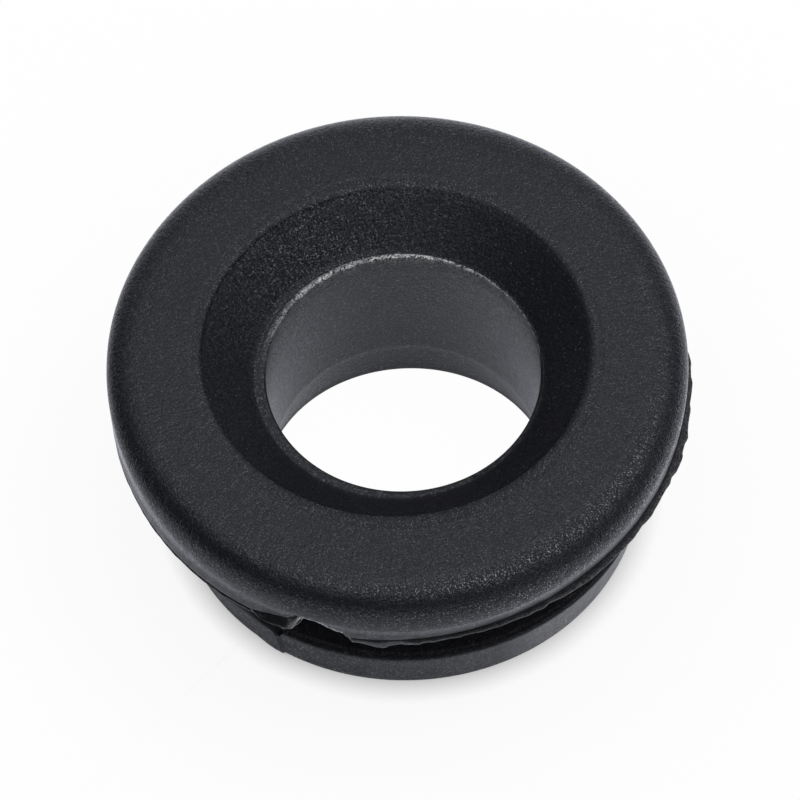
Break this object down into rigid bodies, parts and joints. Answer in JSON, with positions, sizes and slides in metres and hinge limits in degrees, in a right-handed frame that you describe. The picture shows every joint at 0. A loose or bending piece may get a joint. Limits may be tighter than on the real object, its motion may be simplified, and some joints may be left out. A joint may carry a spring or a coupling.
{
  "type": "rubber grommet",
  "caption": "Round moulded rubber grommet: thick rounded head with a sunk funnel mouth, a straight through bore, a deep panel groove and a tapered foot flange.",
  "frame": {"origin": "centre of the bore at the underside of the foot", "axes": "+Z along the bore from the foot up to the head; -Y is the front, with the torn seam at the front left; the upper mould half is offset towards -X"},
  "size_m": [0.0407, 0.0403, 0.0177],
  "materials": {
    "rubber": "fine grained matt near-black rubber with a faint sheen"
  },
  "bodies": {
    "root": {"grommet": "rubber"}
  },
  "joints": []
}
